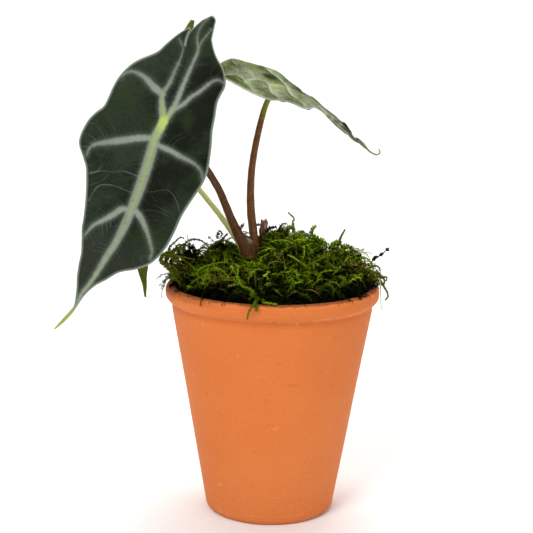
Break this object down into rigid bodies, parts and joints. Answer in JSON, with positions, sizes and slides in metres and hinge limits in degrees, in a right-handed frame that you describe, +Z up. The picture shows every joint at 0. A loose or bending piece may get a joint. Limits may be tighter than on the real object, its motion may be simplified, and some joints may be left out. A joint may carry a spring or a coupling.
{
  "type": "potted alocasia",
  "caption": "Dark velvet-leaved alocasia with pale veins on arching stalks, standing in loose moss in a tapered terracotta pot with a rolled rim.",
  "frame": {"origin": "middle of the underside of the whole plant's box, on the plane that the pot stands on", "axes": "+Z up, -Y towards the viewer of the large blade's face, +X towards the right-hand blade"},
  "size_m": [0.1662, 0.1204, 0.254],
  "materials": {
    "terracotta": "matt, smooth fired clay",
    "soil": "loose, dark, damp",
    "corm": "rough, fibrous",
    "moss": "matt, stringy",
    "stalk_brown": "satin, finely ribbed",
    "stalk_green": "satin, finely dotted",
    "dry_sheath": "dry, papery",
    "leaf_dark": "velvety, pale veins",
    "leaf_sheen": "velvety, pale sheen",
    "leaf_rear": "velvety, pale veins"
  },
  "bodies": {
    "root": {"pot": "terracotta", "potting_mix": "soil", "corm": "corm", "moss": "moss", "stalk_large": "stalk_brown", "stalk_right": "stalk_brown", "stalk_rear": "stalk_green", "dry_sheath": "dry_sheath", "leaf_large": "leaf_dark", "leaf_right": "leaf_sheen", "leaf_rear": "leaf_rear"}
  },
  "joints": []
}
